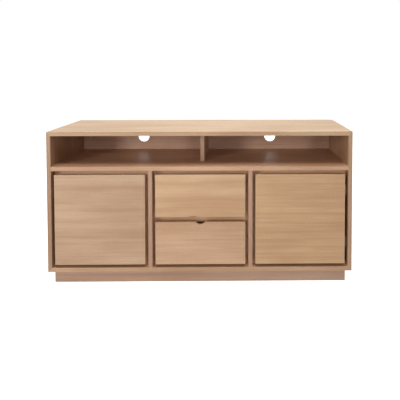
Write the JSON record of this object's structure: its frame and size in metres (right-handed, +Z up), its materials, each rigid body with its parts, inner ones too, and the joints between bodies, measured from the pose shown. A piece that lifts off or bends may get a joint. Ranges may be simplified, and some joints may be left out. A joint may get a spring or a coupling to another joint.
{
  "type": "media cabinet",
  "caption": "Low timber media cabinet with an open compartment across the top, side doors, stacked drawers between them and a recessed plinth.",
  "frame": {"origin": "centre of the footprint, on the floor", "axes": "+X along the cabinet to the right of someone facing its front, +Y from the front to the back, +Z up"},
  "size_m": [1.5, 0.45, 0.748],
  "materials": {
    "oak": "matt lacquered oak veneer, grain along the cabinet",
    "plinth": "matt lacquered oak",
    "birch": "clear lacquered birch",
    "ply": "oak faced plywood",
    "steel": "nickel plated",
    "zinc": "zinc plated",
    "plastic": "matt moulded"
  },
  "bodies": {
    "carcass": {"top_panel": "oak", "side_left": "oak", "side_right": "oak", "bottom_panel": "oak", "fixed_shelf": "oak", "divider_left": "oak", "divider_right": "oak", "centre_divider": "oak", "back_upper": "ply", "back_lower": "ply", "rail_left": "oak", "rail_middle": "oak", "rail_right": "oak", "rail_drawers": "oak", "plinth_front": "plinth", "plinth_back": "plinth", "plinth_left": "plinth", "plinth_right": "plinth", "plinth_cross": "plinth", "plinth_blocks": "birch", "dowels": "birch", "back_screws": "zinc", "shelf_left": "oak", "shelf_right": "oak", "shelf_pins": "steel", "hinge_plates": "zinc", "hinge_arms_left": "steel", "hinge_arms_right": "steel", "catches": "plastic", "stile_left": "oak", "stile_right": "oak", "drawer_linings": "oak", "runners_outer": "steel"},
    "door_left_body": {"door_left": "oak", "hinge_cups_left": "steel", "hinge_pins_left": "zinc", "strike_left": "zinc"},
    "door_right_body": {"door_right": "oak", "hinge_cups_right": "steel", "hinge_pins_right": "zinc", "strike_right": "zinc"},
    "drawer_upper": {"upper_front": "oak", "upper_side_left": "birch", "upper_side_right": "birch", "upper_sub_front": "birch", "upper_back": "birch", "upper_bottom": "ply", "upper_screws": "zinc", "upper_runners": "steel"},
    "runner_upper": {"upper_slides": "zinc"},
    "drawer_lower": {"lower_front": "oak", "lower_side_left": "birch", "lower_side_right": "birch", "lower_sub_front": "birch", "lower_back": "birch", "lower_bottom": "ply", "lower_screws": "zinc", "lower_runners": "steel"},
    "runner_lower": {"lower_slides": "zinc"}
  },
  "joints": [
    {"name": "door_left_hinge", "type": "hinge", "parent": "carcass", "child": "door_left_body", "pos_m": [-0.7, -0.202, 0.313], "axis": [0, 0, -1], "range_deg": [0, 95]},
    {"name": "door_right_hinge", "type": "hinge", "parent": "carcass", "child": "door_right_body", "pos_m": [0.7, -0.202, 0.313], "axis": [0, 0, 1], "range_deg": [0, 95]},
    {"name": "drawer_upper_slide", "type": "slide", "parent": "carcass", "child": "drawer_upper", "axis": [0, -1, 0], "range_m": [0, 0.3]},
    {"name": "runner_upper_slide", "type": "slide", "parent": "carcass", "child": "runner_upper", "axis": [0, -1, 0], "range_m": [0, 0.15]},
    {"name": "drawer_lower_slide", "type": "slide", "parent": "carcass", "child": "drawer_lower", "axis": [0, -1, 0], "range_m": [0, 0.3]},
    {"name": "runner_lower_slide", "type": "slide", "parent": "carcass", "child": "runner_lower", "axis": [0, -1, 0], "range_m": [0, 0.15]}
  ],
  "couplings": [
    {"joint": "runner_upper_slide", "follows": "drawer_upper_slide", "ratio": 0.5},
    {"joint": "runner_lower_slide", "follows": "drawer_lower_slide", "ratio": 0.5}
  ]
}
